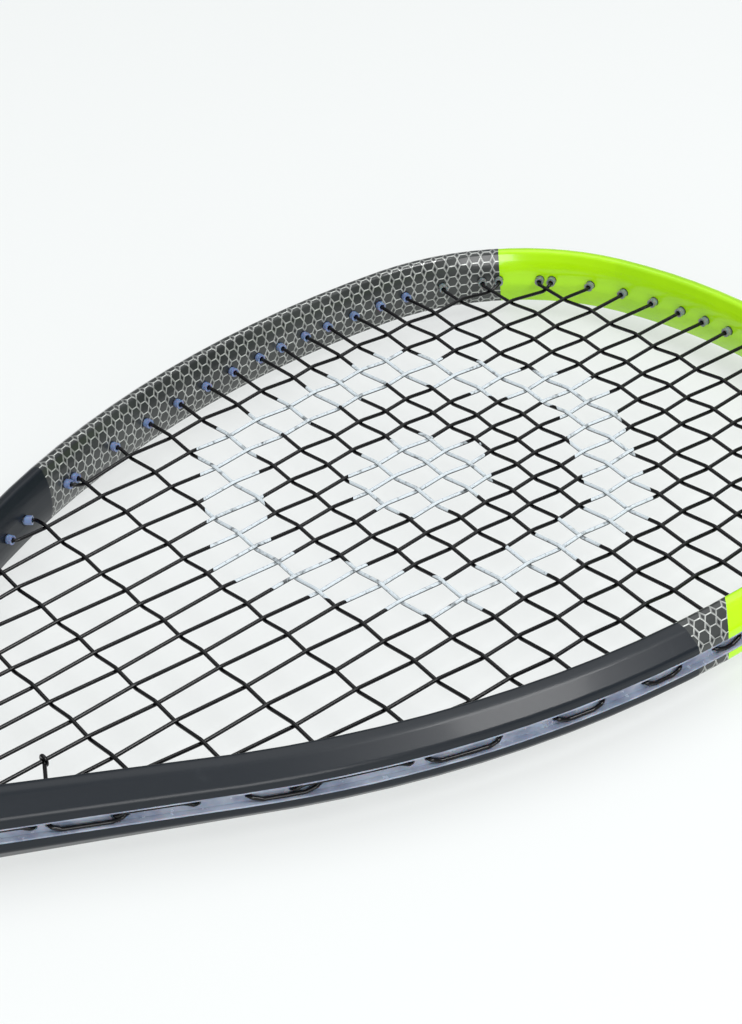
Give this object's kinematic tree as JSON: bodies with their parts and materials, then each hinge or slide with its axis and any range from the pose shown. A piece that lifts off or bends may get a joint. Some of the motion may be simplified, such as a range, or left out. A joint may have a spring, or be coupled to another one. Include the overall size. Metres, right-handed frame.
{
  "type": "squash racket",
  "caption": "Squash racket with a hollow teardrop carbon hoop and shaft, woven strings in grommet strips, and a wrapped handle.",
  "frame": {"origin": "middle of the bounding box's floor, with the racket lying flat", "axes": "+Y from the butt along the shaft to the crown, +Z square to the string bed, +X across the head"},
  "size_m": [0.2144, 0.686, 0.0304],
  "materials": {
    "frame_paint": "satin black, graphite and lime lacquer over carbon",
    "grommet_plastic": "translucent smoke nylon",
    "string_black": "satin black with pale stencil",
    "foam": "moulded foam",
    "adhesive": "tape",
    "grip_pu": "perforated polyurethane",
    "tape_vinyl": "satin vinyl",
    "rubber_black": "matte",
    "cap_plastic": "fine texture",
    "badge": "gloss lime",
    "steel_wire": "drawn wire"
  },
  "bodies": {
    "root": {"frame": "frame_paint", "bumper": "grommet_plastic", "grommet_strip_right": "grommet_plastic", "grommet_strip_left": "grommet_plastic", "string": "string_black", "string_knots": "string_black", "handle_pallet": "foam", "grip_adhesive": "adhesive", "grip_wrap": "grip_pu", "finishing_tape": "tape_vinyl", "grip_collar": "rubber_black", "butt_cap": "cap_plastic", "butt_badge": "badge", "butt_staples": "steel_wire"}
  },
  "joints": []
}
